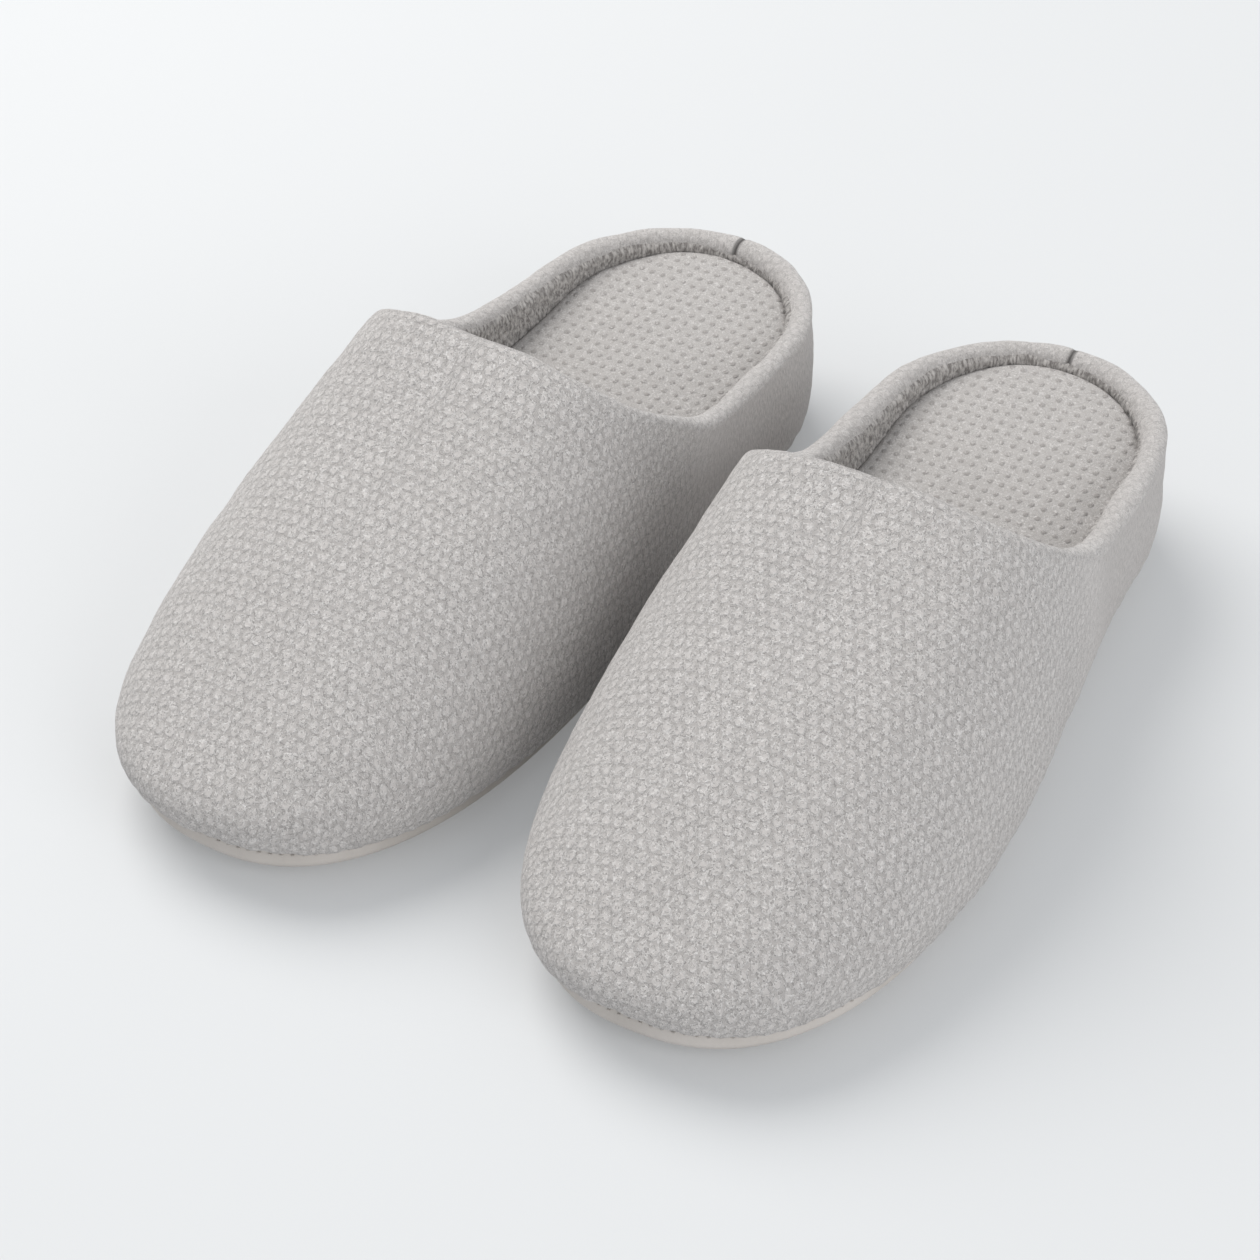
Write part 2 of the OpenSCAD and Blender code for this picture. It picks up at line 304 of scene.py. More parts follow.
def mesh_piece(name, points, faces, uv=None, masks=None):
    """A mesh object from points and faces, with per-point weave coordinates and masks."""
    mesh = bpy.data.meshes.new(name)
    mesh.from_pydata([tuple(p) for p in points.tolist()], [], faces.tolist())
    if uv is not None:
        layer = mesh.uv_layers.new(name="weave")
        loops = np.empty(len(mesh.loops), np.int32)
        mesh.loops.foreach_get("vertex_index", loops)
        layer.data.foreach_set("uv", uv[loops].astype(np.float32).ravel())
    for mask, values in (masks or {}).items():
        attribute = mesh.attributes.new(mask, "FLOAT", "POINT")
        attribute.data.foreach_set("value", values.astype(np.float32).ravel())
    mesh.polygons.foreach_set("use_smooth", np.ones(len(mesh.polygons), bool))
    mesh.update()
    piece = bpy.data.objects.new(name, mesh)
    bpy.context.scene.collection.objects.link(piece)
    return piece


def grid_faces(columns, rows, closed, flip=False):
    """Quads of a grid stored column by column."""
    c = np.arange(columns if closed else columns - 1)[:, None]
    r = np.arange(rows - 1)[None]
    n = (c + 1) % columns
    quads = np.stack([c * rows + r, n * rows + r, n * rows + r + 1, c * rows + r + 1], -1).reshape(-1, 4)
    return quads[:, ::-1] if flip else quads


def grid_piece(name, side, points, closed, uv=None, masks=None):
    """A mesh from a grid of points in a slipper's own frame, faced outwards."""
    columns, rows = points.shape[:2]
    return mesh_piece(name, put(side, points).reshape(-1, 3),
                      grid_faces(columns, rows, closed, flip=SIDES[side] > 0),
                      None if uv is None else uv.reshape(-1, 2),
                      {k: v.reshape(-1) for k, v in (masks or {}).items()})


# ---- Materials

class Nodes:
    """Short names for building a node material."""

    def __init__(self, name, roughness=0.9, sheen=0.0):
        self.material = bpy.data.materials.new(name)
        self.material.use_nodes = True
        self.tree = self.material.node_tree
        self.shader = self.tree.nodes["Principled BSDF"]
        self.shader.inputs["Roughness"].default_value = roughness
        self.shader.inputs["Sheen Weight"].default_value = sheen
        self.shader.inputs["Sheen Roughness"].default_value = 0.6
        self.shader.inputs["Specular IOR Level"].default_value = 0.25

    def add(self, kind, **settings):
        node = self.tree.nodes.new(kind)
        for key, value in settings.items():
            setattr(node, key, value)
        return node

    def feed(self, socket, value):
        if isinstance(value, bpy.types.NodeSocket):
            self.tree.links.new(value, socket)
        else:
            socket.default_value = value

    def math(self, operation, a, b=0.0, c=0.0):
        node = self.add("ShaderNodeMath", operation=operation)
        for socket, value in zip(node.inputs, (a, b, c)):
            self.feed(socket, value)
        return node.outputs[0]

    def vector(self, operation, a, b):
        node = self.add("ShaderNodeVectorMath", operation=operation)
        self.feed(node.inputs[0], a)
        self.feed(node.inputs[1], b)
        return node.outputs[0]

    def scaled(self, a, factor):
        node = self.add("ShaderNodeVectorMath", operation="SCALE")
        self.feed(node.inputs[0], a)
        self.feed(node.inputs["Scale"], factor)
        return node.outputs[0]

    def attribute(self, name):
        return self.add("ShaderNodeAttribute", attribute_name=name).outputs["Fac"]

    def weave(self):
        return self.add("ShaderNodeUVMap", uv_map="weave").outputs[0]

    def place(self):
        return self.add("ShaderNodeTexCoord").outputs["Object"]

    def parts(self, vector):
        return self.split(vector)[:2]

    def split(self, vector):
        node = self.add("ShaderNodeSeparateXYZ")
        self.feed(node.inputs[0], vector)
        return node.outputs[0], node.outputs[1], node.outputs[2]

    def noise(self, vector, scale, detail=3.0, roughness=0.55):
        node = self.add("ShaderNodeTexNoise")
        self.feed(node.inputs["Vector"], vector)
        node.inputs["Scale"].default_value = scale
        node.inputs["Detail"].default_value = detail
        node.inputs["Roughness"].default_value = roughness
        return node.outputs[0]

    def noise_vector(self, vector, scale):
        node = self.add("ShaderNodeTexNoise")
        self.feed(node.inputs["Vector"], vector)
        node.inputs["Scale"].default_value = scale
        return self.vector("SUBTRACT", node.outputs["Color"], (0.5, 0.5, 0.5))

    def ramp(self, value, low, high, out_low=0.0, out_high=1.0):
        node = self.add("ShaderNodeMapRange", interpolation_type="SMOOTHSTEP")
        for socket, v in zip(node.inputs, (value, low, high, out_low, out_high)):
            self.feed(socket, v)
        return node.outputs[0]

    def mix(self, factor, a, b):
        node = self.add("ShaderNodeMix", data_type="FLOAT")
        self.feed(node.inputs[0], factor)
        self.feed(node.inputs[2], a)
        self.feed(node.inputs[3], b)
        return node.outputs[0]

    def colour(self, factor, a, b):
        node = self.add("ShaderNodeMix", data_type="RGBA")
        self.feed(node.inputs[0], factor)
        self.feed(node.inputs[6], a)
        self.feed(node.inputs[7], b)
        return node.outputs[2]

    def finish(self, colour, height, distance, strength=1.0, roughness=None):
        bump = self.add("ShaderNodeBump")
        bump.inputs["Strength"].default_value = strength
        bump.inputs["Distance"].default_value = distance
        self.feed(bump.inputs["Height"], height)
        self.tree.links.new(bump.outputs[0], self.shader.inputs["Normal"])
        self.feed(self.shader.inputs["Base Color"], colour)
        if roughness is not None:
            self.feed(self.shader.inputs["Roughness"], roughness)
        return self.material


def shade(r, g, b, factor=1.0):
    """An sRGB colour, 0 to 255, as a linear one."""
    return tuple(((v * factor / 255) ** 2.2) for v in (r, g, b)) + (1.0,)


WARM_GREY = (200, 195, 192)
# The floor glows a little, which keeps the shadows cast on it pale
FLOOR_GLOW = 0.16
TAU = 2 * math.pi


def waffle(n, uv, cell):
    """The vamp's knit: round stitches in offset rows, and the yarn looped round each, 0 to 1."""
    wobble = n.scaled(n.noise_vector(uv, 260.0), 0.7 * MM)
    u, v = n.parts(n.vector("ADD", uv, wobble))
    a = n.math("COSINE", n.math("MULTIPLY", u, TAU / cell))
    b = n.math("COSINE", n.math("MULTIPLY", v, math.pi / cell))
    c = n.math("COSINE", n.math("MULTIPLY", v, TAU / cell))
    raised = n.math("ADD", n.math("MULTIPLY", n.math("MULTIPLY", a, b), 2.0), c)
    slack = n.math("MULTIPLY", n.math("SUBTRACT", n.noise(uv, 1300.0, 2.0), 0.5), 4.5)
    ring = n.math("ABSOLUTE", n.math("ADD", n.math("SUBTRACT", raised, 0.2), slack))
    return n.ramp(raised, -1.6, 0.9), n.ramp(ring, 0.0, 0.4, 1.0, 0.0)


def dimples(n, uv, across, along):
    """Height of the insole's knit, 0 to 1: plump squares with a small deep hole at each corner."""
    wobble = n.scaled(n.noise_vector(uv, 220.0), 0.7 * MM)
    u, v = n.parts(n.vector("ADD", uv, wobble))
    a = n.math("COSINE", n.math("MULTIPLY", u, TAU / across))
    b = n.math("COSINE", n.math("MULTIPLY", v, TAU / along))
    return n.ramp(n.math("ADD", a, b), 1.95, 0.6)


def yarn(n, uv):
    """Fine thread and fibre relief."""
    return n.noise(uv, 1500.0, detail=4.0, roughness=0.7)


def strands(n, uv, level=0.5):
    """Thin winding yarns lying on the knit, 1 along a yarn and 0 between."""
    field = n.noise(uv, 900.0, detail=1.5, roughness=0.6)
    return n.ramp(n.math("ABSOLUTE", n.math("SUBTRACT", field, level)), 0.0, 0.05, 1.0, 0.0)


def upper_material():
    n = Nodes("waffle_knit", roughness=0.92, sheen=0.2)
    uv = n.weave()
    nap = n.attribute("nap")
    knit, loops = waffle(n, uv, CELL)
    brushed = n.noise(n.vector("MULTIPLY", uv, (500.0, 1900.0, 1.0)), 1.0, detail=5.0, roughness=0.7)
    fine = yarn(n, uv)
    lines = n.math("MAXIMUM", loops, n.math("MULTIPLY", strands(n, uv), 0.5))
    relief = n.math("ADD", n.math("MULTIPLY", knit, 0.5), n.math("MULTIPLY", fine, 0.55))
    cloth = n.math("ADD", relief, n.math("MULTIPLY", lines, 0.35))
    fur = n.math("ADD", n.math("MULTIPLY", brushed, 1.3), n.math("MULTIPLY", fine, 0.3))
    height = n.mix(nap, cloth, fur)
    # Painted shade: the knit's grooves are coloured darker than its raised stitches
    shaded_grooves = n.colour(knit, shade(*WARM_GREY, 0.86), shade(*WARM_GREY, 0.97))
    shadowed = n.colour(n.math("MULTIPLY", strands(n, uv, 0.42), 0.85), shaded_grooves, shade(*WARM_GREY, 0.66))
    # Painted highlight: the yarn loops and strands are coloured near white
    highlighted_yarn = n.colour(n.math("MULTIPLY", lines, 0.9), shadowed, shade(246, 243, 241))
    patchy = n.noise(n.place(), 35.0, detail=2.0)
    streaks = n.colour(n.ramp(brushed, 0.35, 0.65), shade(*WARM_GREY, 0.84), shade(*WARM_GREY, 1.02))
    worn = n.colour(nap, highlighted_yarn, streaks)
    toned = n.colour(n.math("MULTIPLY", patchy, 0.12), worn, shade(176, 170, 166))
    # Painted shade: the centre-back slit at the collar is coloured dark
    seam = n.colour(n.attribute("seam"), toned, shade(80, 76, 74))
    return n.finish(seam, height, 0.5 * MM, 1.0, n.ramp(fine, 0.2, 0.8, 0.85, 1.0))


def insole_material():
    n = Nodes("insole_waffle", roughness=0.92, sheen=0.2)
    uv = n.weave()
    knit = dimples(n, uv, *INSOLE_CELL)
    fine = yarn(n, uv)
    lines = strands(n, uv)
    relief = n.math("ADD", n.math("MULTIPLY", knit, 0.7), n.math("MULTIPLY", fine, 0.4))
    height = n.math("ADD", relief, n.math("MULTIPLY", lines, 0.2))
    # Painted shade: the knit's holes are coloured darker than its plump squares
    shaded_dimples = n.colour(knit, shade(154, 149, 146), shade(178, 174, 171))
    shadowed = n.colour(n.math("MULTIPLY", strands(n, uv, 0.38), 0.5), shaded_dimples, shade(150, 145, 142))
    # Painted highlight: the yarn strands are coloured near white
    base = n.colour(n.math("MULTIPLY", lines, 0.6), shadowed, shade(228, 224, 222))
    tone = n.colour(n.math("MULTIPLY", n.noise(n.place(), 40.0, 2.0), 0.1), base, shade(180, 172, 168))
    return n.finish(tone, height, 0.55 * MM, 1.0, n.ramp(fine, 0.2, 0.8, 0.85, 1.0))


def pile_material():
    n = Nodes("terry_pile", roughness=0.95, sheen=0.3)
    uv = n.weave()
    loops = n.noise(n.vector("MULTIPLY", uv, (1000.0, 420.0, 1.0)), 1.0, detail=4.0, roughness=0.7)
    fine = yarn(n, uv)
    height = n.math("ADD", loops, n.math("MULTIPLY", fine, 0.4))
    # Painted shade: the pile is coloured darker where its loops are low
    base = n.colour(n.ramp(loops, 0.38, 0.62), shade(122, 117, 114), shade(196, 191, 187))
    return n.finish(base, height, 0.9 * MM, 1.0)


def jersey_material():
    n = Nodes("jersey_lining", roughness=0.9, sheen=0.1)
    uv = n.weave()
    u, v = n.parts(uv)
    ribs = n.math("SINE", n.math("MULTIPLY", u, TAU / (1.4 * MM)))
    fine = yarn(n, uv)
    height = n.math("ADD", n.math("MULTIPLY", ribs, 0.3), fine)
    base = n.colour(n.noise(n.place(), 60.0, 2.0), shade(168, 163, 160), shade(184, 179, 176))
    return n.finish(base, height, 0.3 * MM)


def outsole_material():
    n = Nodes("outsole_skin", roughness=0.6)
    place = n.place()
    grain = n.noise(place, 900.0, detail=3.0)
    cloud = n.noise(place, 30.0, detail=2.0)
    base = n.colour(n.ramp(cloud, 0.3, 0.7), shade(186, 180, 174), shade(198, 192, 187))
    return n.finish(base, grain, 0.15 * MM, 1.0, n.ramp(grain, 0.3, 0.7, 0.5, 0.7))


def thread_material():
    n = Nodes("thread", roughness=0.75, sheen=0.1)
    x, y, z = n.split(n.place())
    twist = n.math("SINE", n.math("MULTIPLY", n.math("ADD", n.math("ADD", x, y), z), TAU / (0.5 * MM)))
    base = n.colour(n.ramp(twist, -1.0, 1.0), shade(168, 162, 156), shade(204, 198, 192))
    return n.finish(base, twist, 0.02 * MM)


def foam_material():
    n = Nodes("foam", roughness=0.95)
    cells = n.noise(n.place(), 1400.0, detail=2.0)
    base = n.colour(cells, shade(220, 216, 204), shade(240, 237, 228))
    return n.finish(base, cells, 0.3 * MM)


def board_material():
    n = Nodes("fibre_board", roughness=0.85)
    fibres = n.noise(n.vector("MULTIPLY", n.place(), (300.0, 900.0, 900.0)), 1.0, detail=4.0)
    base = n.colour(fibres, shade(140, 112, 84), shade(172, 142, 110))
    return n.finish(base, fibres, 0.1 * MM)


def floor_material():
    n = Nodes("floor", roughness=0.65)
    n.shader.inputs["Emission Color"].default_value = (0.965, 0.985, 1.0, 1.0)
    n.shader.inputs["Emission Strength"].default_value = FLOOR_GLOW
    base = n.colour(n.noise(n.place(), 3.0, 2.0), shade(189, 190, 191), shade(193, 194, 195))
    return n.finish(base, n.noise(n.place(), 200.0), 0.02 * MM)


MATERIALS = {
    "waffle_fabric": upper_material(), "insole_fabric": insole_material(), "lining": jersey_material(),
    "terry_lining": pile_material(), "foam": foam_material(), "board": board_material(),
    "outsole": outsole_material(), "thread": thread_material()}


def dress(piece, slot):
    piece.data.materials.append(MATERIALS[slot])
    return piece


def bend(piece, side):
    """Bakes the piece's place into its mesh. The toe joint at the ball is looked up, but the piece is not bent at
    it.
    """
    joint = next(j for j in frame["joints"] if j["name"] == side + "_toe_flex")
    axis, centre = Vector(joint["axis"]), Vector(joint["pos_m"])
    forwards = Vector((axis.y, -axis.x, 0)).normalized()
    if forwards.y > 0:
        forwards.negate()
    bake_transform(piece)
    return piece


# ---- The upper: one knit skin from the sole seam, over the vamp and round the collar roll

EVEN = even_stations(GRID)


def read(values, k):
    """Vectors given at the EVEN stations, read at any stations k."""
    return np.stack([np.interp(k, EVEN, column) for column in values.T], -1)


def collar_wall(rise):
    """The middle of the wall's thickness at one rise, at the EVEN stations."""
    return wall_points(EVEN, np.array([rise]), WALL / 2, MOUTH_R, COLLAR_R)[:, 0]


def top_easing():
    """How far the top line moves to round the corner where the mouth meets the sides."""
    line = both_sides(collar_wall(1.0))
    near = np.exp(-((EVEN - LOW_STATION + 0.5) / 3.0) ** 4)
    near = np.concatenate([near, near[-2:0:-1]])
    return (relax(line, 260, 0, True, near) - line)[:len(EVEN)]


TOP_EASING = top_easing()


def collar_frame():
    """Centre line of the collar roll, and its outward and upward directions."""
    count = len(EVEN)
    ring = relax(both_sides(collar_wall(1.0) + TOP_EASING), 6, 0, True)
    centre = ring[:count]
    tangent = (np.roll(ring, -1, 0) - np.roll(ring, 1, 0))[:count]
    tangent /= np.linalg.norm(tangent, axis=1, keepdims=True)
    wall = collar_wall(0.9) + TOP_EASING - centre
    out = np.cross(wall, tangent)
    out /= np.linalg.norm(out, axis=1, keepdims=True)
    out = relax(both_sides(out), 30, 0, True)[:count]
    up = np.cross(tangent, out)
    up *= np.sign(-(up * wall).sum(1))[:, None]
    up /= np.linalg.norm(up, axis=1, keepdims=True)
    return centre, out, up


COLLAR_FRAME = collar_frame()


def eased_wall(k, rises, inset, front, down):
    """Wall points whose top follows the eased top line."""
    easing = read(TOP_EASING, k)[:, None] * (rises ** 4)[None, :, None]
    return wall_points(k, rises, inset, front, down) + easing


def roll_points(k, first, last, count, grow=0.0):
    """Points round the collar roll from angle first to last in degrees: 0 is out, 90 up, 180 inwards."""
    centre, out, up = (read(values, k) for values in COLLAR_FRAME)
    r = (mix(MOUTH_R, COLLAR_R, smooth(1.3 * k / LOW_STATION - 0.3)) + grow)[:, None]
    angles = np.radians(np.linspace(first, last, count))
    return np.stack([centre + r * (math.cos(a) * out + math.sin(a) * up) for a in angles], 1)


def draped(x, y):
    """Cloth coordinates of the knit over the vamp: lengths across and along it."""
    t = np.linspace(0, 1, 28)
    across = x[..., None] * (1 - (1 - t) ** 2)
    z = cover(across, np.broadcast_to(y[..., None], across.shape), 0.0)
    u = np.hypot(np.diff(across), np.diff(z)).sum(-1) * np.sign(x)
    start = TOE + 20 * MM
    lines = mix(start, np.minimum(y, start)[..., None], 1 - (1 - t) ** 2)
    z = cover(np.broadcast_to(np.minimum(x, DRAPE_X)[..., None], lines.shape), lines, 0.0)
    v = np.hypot(np.diff(lines), np.diff(z)).sum(-1)
    return np.stack([u, np.where(y < start, start - v, y)], -1)


def carried_on(uv, points, first, last):
    """Extends cloth coordinates beyond rows first to last - 1 by the length of the rows outside them."""
    run = along(points)
    out = uv.copy()
    below, above = range(first), range(last, points.shape[1])
    for edge, inner, rows in ((first, first + 2, below), (last - 1, last - 3, above)):
        heading = uv[:, edge] - uv[:, inner]
        heading /= np.maximum(np.linalg.norm(heading, axis=-1, keepdims=True), 1e-9)
        for r in rows:
            out[:, r] = uv[:, edge] + heading * np.abs(run[:, r] - run[:, edge])[:, None]
    return out


def upper_half():
    """The upper on the +X side: points, cloth coordinates and how far it is brushed, in one grid."""
    k = EVEN
    plan = outline(k, 0.0)
    under = []
    # A flap turned in over the sole's rim, so that no gap shows at the seam
    for beyond in (4 * MM, 2 * MM):
        p = outline(k, TUCK + beyond)
        under.append(np.column_stack([p, SEAM_Z + FLAP_LIFT + sole_lift(p[:, 1])]))
    for a in np.linspace(0, np.pi / 2, 12)[:-1]:
        p = outline(k, TUCK * (1 - math.sin(a)))
        low = SEAM_Z + sole_lift(p[:, 1])
        under.append(np.column_stack([p, low + (BELLY - low) * (1 - math.cos(a))]))
    under = np.stack(under, 1)
    rises = np.linspace(0, 1, 110) ** 0.8
    main = wall_points(k, rises, 0.0, MOUTH_R, COLLAR_R)
    eased = eased_wall(k, rises, 0.0, MOUTH_R, COLLAR_R)
    points = np.concatenate([under, eased, roll_points(k, *SKIN_ARC, 26)], 1)
    first, last = under.shape[1], under.shape[1] + main.shape[1]
    uv = np.zeros(points.shape[:2] + (2,))
    uv[:, first:last] = draped(main[..., 0], main[..., 1])
    uv = carried_on(uv, points, first, last)
    # Behind the mouth the cloth runs level round the heel instead
    run = np.concatenate([[0], np.cumsum(np.linalg.norm(np.diff(plan, axis=0), axis=1))])
    start = np.searchsorted(plan[:, 1], TURN_START)
    climb = along(points) - along(points)[:, first:first + 1]
    level = np.stack([uv[start, first, 0] - climb,
                      np.broadcast_to((uv[start, first, 1] + run - run[start])[:, None], climb.shape)], -1)
    back = smooth((plan[:, 1] - TURN_START + 15 * MM) / (30 * MM))[:, None, None]
    uv = mix(uv, level, back)
    nap = smooth((points[..., 1] - NAP_START) / NAP_LENGTH)
    nap[:, last:] *= ROLL_NAP
    rows = max(int(np.median(along(points)[:, -1]) / GRID), 120)
    return respace(np.concatenate([points, uv, nap[..., None]], -1), rows)


def build_upper(side):
    data = upper_half()
    ring = relax(relax(both_sides(data[..., :3]), 8, 0, True), 6, 1, False)
    uv = np.concatenate([data[..., 3:5], data[-2:0:-1, :, 3:5] * (-1, 1)])
    nap = np.concatenate([data[..., 5], data[-2:0:-1, :, 5]])
    normal = grid_normals(ring, True)
    seed = 3 + SIDES[side]
    broad, broad_depth = 45 * MM, 0.35 * MM
    small, small_depth = 16 * MM, 0.15 * MM
    soft = broad_depth * waves(ring, broad, seed) + small_depth * waves(ring, small, seed + 10)
    gather_reach, gather_size, gather_drift, gather_depth = 5 * MM, 0.9 * MM, 9 * MM, 0.2 * MM
    pucker = np.exp(-((ring[..., 2] - SEAM_Z - sole_lift(ring[..., 1])) / gather_reach) ** 2)
    around = np.cumsum(np.linalg.norm(np.roll(ring[:, 0], -1, 0) - ring[:, 0], axis=1))
    gathers = np.sin(around / gather_size + 2.0 * np.sin(around / gather_drift))[:, None] * pucker
    slit_half_width, slit_depth, slit_foot, slit_fade = 0.6 * MM, 0.3 * MM, 36 * MM, 5 * MM
    slit = np.exp(-(ring[..., 0] / slit_half_width) ** 2) * (ring[..., 1] > HEEL_START)
    ring = ring + normal * (soft + gather_depth * gathers - slit_depth * slit)[..., None]
    # The second mask says where the slit's painted shade goes, on the collar only
    masks = {"nap": nap, "seam": slit * smooth((ring[..., 2] - slit_foot) / slit_fade)}
    piece = grid_piece(side + "_upper", side, ring, True, uv, masks)
    nodes = ("upper_fabric", "collar_cover", "collar_foam", "back_seam_tape")
    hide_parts(*(f"{side}_{node}" for node in nodes))
    return bend(dress(piece, "waffle_fabric"), side)


# ---- Linings

def build_pile_lining(side):
    """Terry pile over the inner half of the collar roll and down the heel walls to the insole."""
    pile_sunk, pile_depth, pile_edge = 0.5 * MM, 1.0 * MM, 2.5 * MM
    tuft_size, tuft_depth, tuft_stretch = 2.2 * MM, 0.5 * MM, 0.45
    station_gap = 0.45 * MM
    # The wall's first rows lie inside the roll
    hidden_rows = 6
    k = even_stations(station_gap)
    k = k[k > PILE_FROM]
    on_roll = roll_points(k, *PILE_ARC, 14, -pile_sunk)
    wall = eased_wall(k, np.linspace(1, 0, 30), WALL, MOUTH_R, COLLAR_R * 2)
    half = respace(np.concatenate([on_roll, wall[:, hidden_rows:]], 1), 64)
    other = half[-2::-1].copy()
    other[..., 0] *= -1
    strip = relax(relax(np.concatenate([half, other]), 4, 0, False), 12, 1, False)
    middle = strip[:, 20]
    step = np.linalg.norm(np.diff(middle, axis=0, prepend=middle[:1]), axis=1)
    rows = along(strip)
    uv = np.stack([np.broadcast_to(np.cumsum(step)[:, None], rows.shape), rows], -1)
    tufts = waves(uv * (1.0, tuft_stretch), tuft_size, 21, 2)
    inwards = -grid_normals(strip, False)
    heel_middle = np.array([0.0, HEEL_START - 20 * MM])
    flip = np.sign((inwards[..., :2] * (heel_middle - strip[..., :2])).sum())
    edge = smooth(rows / pile_edge)
    strip = strip + flip * inwards * (edge * (pile_depth + tuft_depth * np.abs(tufts)))[..., None]
    piece = grid_piece(side + "_pile_lining", side, strip, False, uv)
    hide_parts(side + "_heel_lining")
    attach(piece, side + "_slipper")
    return dress(piece, "terry_lining")


def build_vamp_lining(side):
    """Plain jersey inside the vamp."""
    k = EVEN[EVEN < LOW_STATION + 0.2]
    inset = 5.2 * MM
    # Its top edge ends inside the roll
    into_roll = 1.1
    top = eased_wall(k, np.linspace(0, 1, 70), inset, MOUTH_R * into_roll, COLLAR_R * into_roll)
    foot = outline(k, inset + TUCK)
    low = SEAM_Z + sole_lift(foot[:, 1])
    under = np.stack([np.column_stack([mix(foot, outline(k, inset), t), mix(low, BELLY, t)])
                      for t in np.linspace(0, 1, 10)[:-1]], 1)
    half = respace(np.concatenate([under, top], 1), 80)
    other = half[:0:-1].copy()
    other[..., 0] *= -1
    strip = np.concatenate([other, half])
    run = np.cumsum(np.linalg.norm(np.diff(strip[:, 0], axis=0, prepend=strip[:1, 0]), axis=1))
    uv = np.stack([np.broadcast_to(run[:, None], strip.shape[:2]), along(strip)], -1)
    piece = grid_piece(side + "_jersey_lining", side, strip, False, uv)
    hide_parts(side + "_vamp_lining", side + "_upper_foam")
    return bend(dress(piece, "lining"), side)


# ---- The insole: a crowned pad under waffle cloth, on a wedge that rises to the heel

def build_insole(side):
    inset, edge_r = 7.0 * MM, 2.8 * MM
    crown_rise, crown_dip = 1.0 * MM, 0.5 * MM
    dent_size, dent_depth = 40 * MM, 0.25 * MM
    # The cloth is a little longer than its plan, because the insole slopes
    slope_length = 1.01
    y = mix(inset, LENGTH - inset, 0.5 - 0.5 * np.cos(np.pi * np.linspace(0, 1, 360)))
    s = np.sin(np.linspace(-np.pi / 2, np.pi / 2, 170))
    toe = np.clip(TOE - y, 0, None) / (TOE - inset)
    heel = np.clip(y - HEEL_START, 0, None) / (HEEL - inset)
    width = np.where(y < TOE, (BALL_HALF - inset) * clamp(1 - toe ** TOE_POWER) ** (1 / TOE_POWER),
                     np.where(y <= HEEL_START, half_width(y, inset),
                              (HEEL_HALF - inset) * clamp(1 - heel ** HEEL_POWER) ** (1 / HEEL_POWER)))
    x = width[:, None] * s[None]
    yy = np.broadcast_to(y[:, None], x.shape)
    rho = clamp(share(x, yy, inset))
    reach = np.hypot(x, yy - np.clip(yy, TOE, HEEL_START)) / np.maximum(rho, 1e-3)
    edge = np.clip((1 - rho) * reach, 0, edge_r)
    fall = (edge_r - np.sqrt(np.clip(edge_r ** 2 - (edge_r - edge) ** 2, 0, None)))
    crown = crown_rise * (1 - rho ** 2) - crown_dip * rho ** 6
    dents = dent_depth * waves(np.stack([x, yy], -1), dent_size, 5 + SIDES[side])
    z = insole_height(yy) - fall + crown + dents
    uv = np.stack([x, yy * slope_length], -1)
    piece = grid_piece(side + "_insole", side, np.stack([x, yy, z], -1), False, uv)
    nodes = ("cover_heel", "cover_toe", "foam_heel", "foam_toe")
    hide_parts(*(f"{side}_insole_{node}" for node in nodes))
    return bend(dress(piece, "insole_fabric"), side)


# ---- The sole

def build_outsole(side):
    """A thin skin turned up round the foam: flat underneath, rounded at the edge, up to the seam."""
    edge_r, rim, seam_draw, turned_in = 4.2 * MM, 14 * MM, 0.4 * MM, 2.5 * MM
    # Shares of the toe's lift at the round edge's top and at the seam; underneath it is BOTTOM_LIFT
    edge_lift, seam_lift = 0.75, 1.0
    k = even_stations(2 * MM)
    rows = []

    def row(inset, height, lift):
        p = outline(k, inset)
        rows.append(np.column_stack([p, height + lift * sole_lift(p[:, 1])]))

    edge = outline(k, rim)
    middle = np.column_stack([0 * k, np.clip(edge[:, 1], TOE, HEEL_START)])
    for t in np.linspace(0.02, 1, 12)[:-1]:
        rows.append(np.column_stack([mix(middle, edge, t), BOTTOM_LIFT * sole_lift(edge[:, 1])]))
    for t in np.linspace(0, 1, 14):
        a = t * np.pi / 2
        row(mix(rim, SOLE_INSET, math.sin(a)), edge_r * (1 - math.cos(a)), mix(BOTTOM_LIFT, edge_lift, t))
    for t in np.linspace(0.15, 1, 7):
        row(SOLE_INSET + seam_draw * t, mix(edge_r, SEAM_Z, t), mix(edge_lift, seam_lift, t))
    for t in np.linspace(0.25, 1, 4):
        row(SOLE_INSET + seam_draw + turned_in * t, SEAM_Z + 0.2 * MM * math.sin(t * np.pi), seam_lift)
    ring = relax(both_sides(np.stack(rows, 1)), 4, 0, True)
    piece = grid_piece(side + "_outsole", side, ring, True)
    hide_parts(side + "_outsole_heel", side + "_outsole_toe")
    return bend(dress(piece, "outsole"), side)


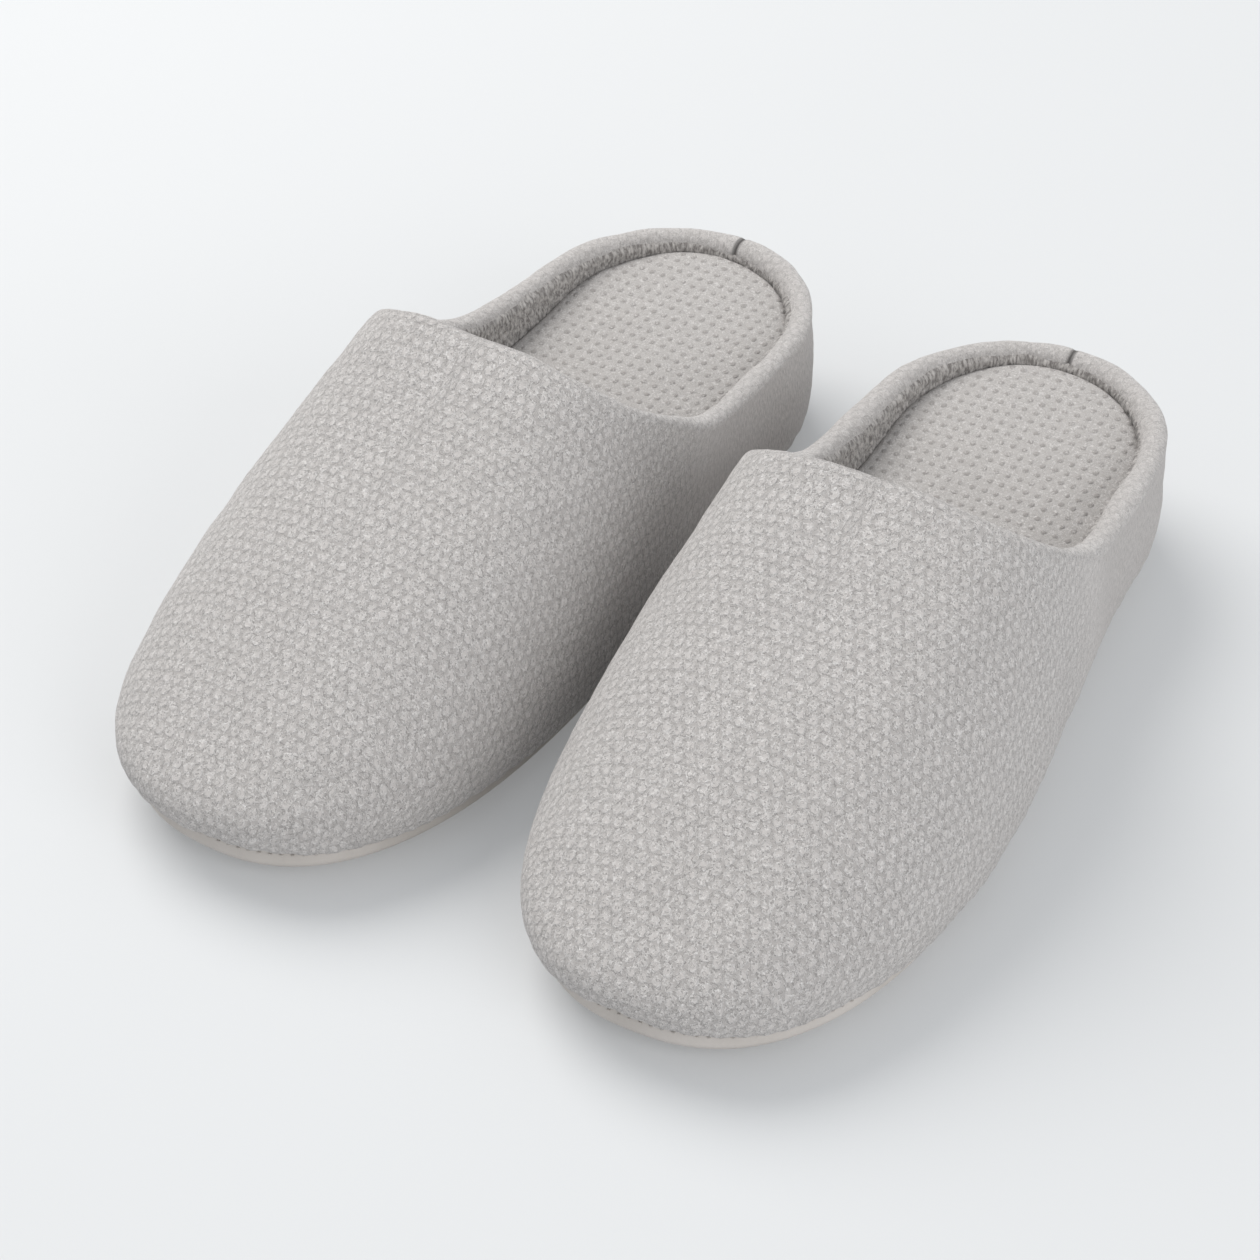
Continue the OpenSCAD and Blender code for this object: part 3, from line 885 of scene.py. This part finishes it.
def build_stitches(side):
    """The sole seam's stitches, each a small sunk capsule of thread with a bend in it."""
    k = even_stations(STITCH_PITCH)
    proud, below_seam = 0.1 * MM, 0.9 * MM
    line = outline(k, SOLE_INSET - proud)
    ring = both_sides(np.column_stack([line, SEAM_Z - below_seam + 0.98 * sole_lift(line[:, 1])]))
    tangent = np.roll(ring, -1, 0) - np.roll(ring, 1, 0)
    tangent /= np.linalg.norm(tangent, axis=1, keepdims=True)
    out = np.cross(tangent, (0, 0, 1.0))
    points, faces = [], []
    sides, rings = 8, 7
    for centre, t, o in zip(ring, tangent, out):
        base = len(points)
        for s in np.linspace(-1, 1, rings):
            r = STITCH_R * math.sqrt(max(1 - s ** 4, 0.02))
            middle = centre + t * s * STITCH_REACH + o * STITCH_R * (0.3 - 0.9 * s * s)
            for a in np.linspace(0, TAU, sides, endpoint=False):
                points.append(middle + r * (math.cos(a) * o + math.sin(a) * np.array([0, 0, 1.0])))
        for i in range(rings - 1):
            for j in range(sides):
                n = (j + 1) % sides
                here, there = base + i * sides, base + (i + 1) * sides
                faces.append([here + j, here + n, there + n, there + j])
    piece = mesh_piece(side + "_stitches", put(side, np.array(points)), np.array(faces))
    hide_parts(side + "_sole_seam_thread")
    return bend(dress(piece, "thread"), side)


def build_slipper(side):
    build_upper(side)
    build_pile_lining(side)
    build_vamp_lining(side)
    build_insole(side)
    build_outsole(side)
    build_stitches(side)


for side in SIDES:
    build_slipper(side)

# ---- CAD nodes that stay: the inner layers

for part in frame["record"]["subparts"]:
    node = frame["nodes"][part["node"]]
    if not node.hide_render:
        node.data.materials.clear()
        node.data.materials.append(MATERIALS[part["material_slot"]])

# ---- Floor, light and camera

floor_half = 3.0
floor_corners = np.array([[-1, -1, 0], [1, -1, 0], [1, 1, 0], [-1, 1, 0]]) * floor_half
floor = mesh_piece("floor", floor_corners, np.array([[0, 1, 2, 3]]))
floor.data.materials.append(floor_material())

world = bpy.data.worlds.new("studio")
bpy.context.scene.world = world
world.use_nodes = True
sky = world.node_tree.nodes["Background"]
sky.inputs["Color"].default_value = (0.94, 0.97, 1.0, 1.0)
sky.inputs["Strength"].default_value = 0.63


def softbox(name, position, size, power, colour=(1, 1, 1)):
    """A round soft light in metres and watts that faces the middle of the floor."""
    light = bpy.data.lights.new(name, "AREA")
    light.shape = "DISK"
    light.size = size
    light.energy = power
    light.color = colour
    lamp = bpy.data.objects.new(name, light)
    bpy.context.scene.collection.objects.link(lamp)
    lamp.location = position
    lamp.rotation_euler = (-Vector(position)).to_track_quat("-Z", "Y").to_euler()


softbox("key", position=(-1.3, 0.5, 1.6), size=1.8, power=38, colour=(1.0, 0.985, 0.96))
softbox("fill", position=(1.7, -0.6, 0.85), size=1.6, power=15)

camera_azimuth, camera_elevation, camera_roll = math.radians(32.0), math.radians(40.35), -0.0175
camera_distance, camera_focus_px = 1.0655, 3788
camera_target = Vector((-0.0184, 0.0069, 0.0))
back = Vector((math.sin(camera_azimuth) * math.cos(camera_elevation),
               -math.cos(camera_azimuth) * math.cos(camera_elevation), math.sin(camera_elevation)))
right = Vector((math.cos(camera_azimuth), math.sin(camera_azimuth), 0))
up = back.cross(right)
turned_right = right * math.cos(camera_roll) + up * math.sin(camera_roll)
turned_up = up * math.cos(camera_roll) - right * math.sin(camera_roll)
lens = bpy.data.cameras.new("camera")
picture_px = 1260
lens.sensor_width = 36
lens.lens = camera_focus_px / picture_px * lens.sensor_width
camera = bpy.data.objects.new("camera", lens)
bpy.context.scene.collection.objects.link(camera)
camera.matrix_world = Matrix.Translation(camera_target + back * camera_distance) @ Matrix(
    (turned_right, turned_up, back)).transposed().to_4x4()
bpy.context.scene.camera = camera
bpy.context.scene.view_settings.view_transform = "Standard"
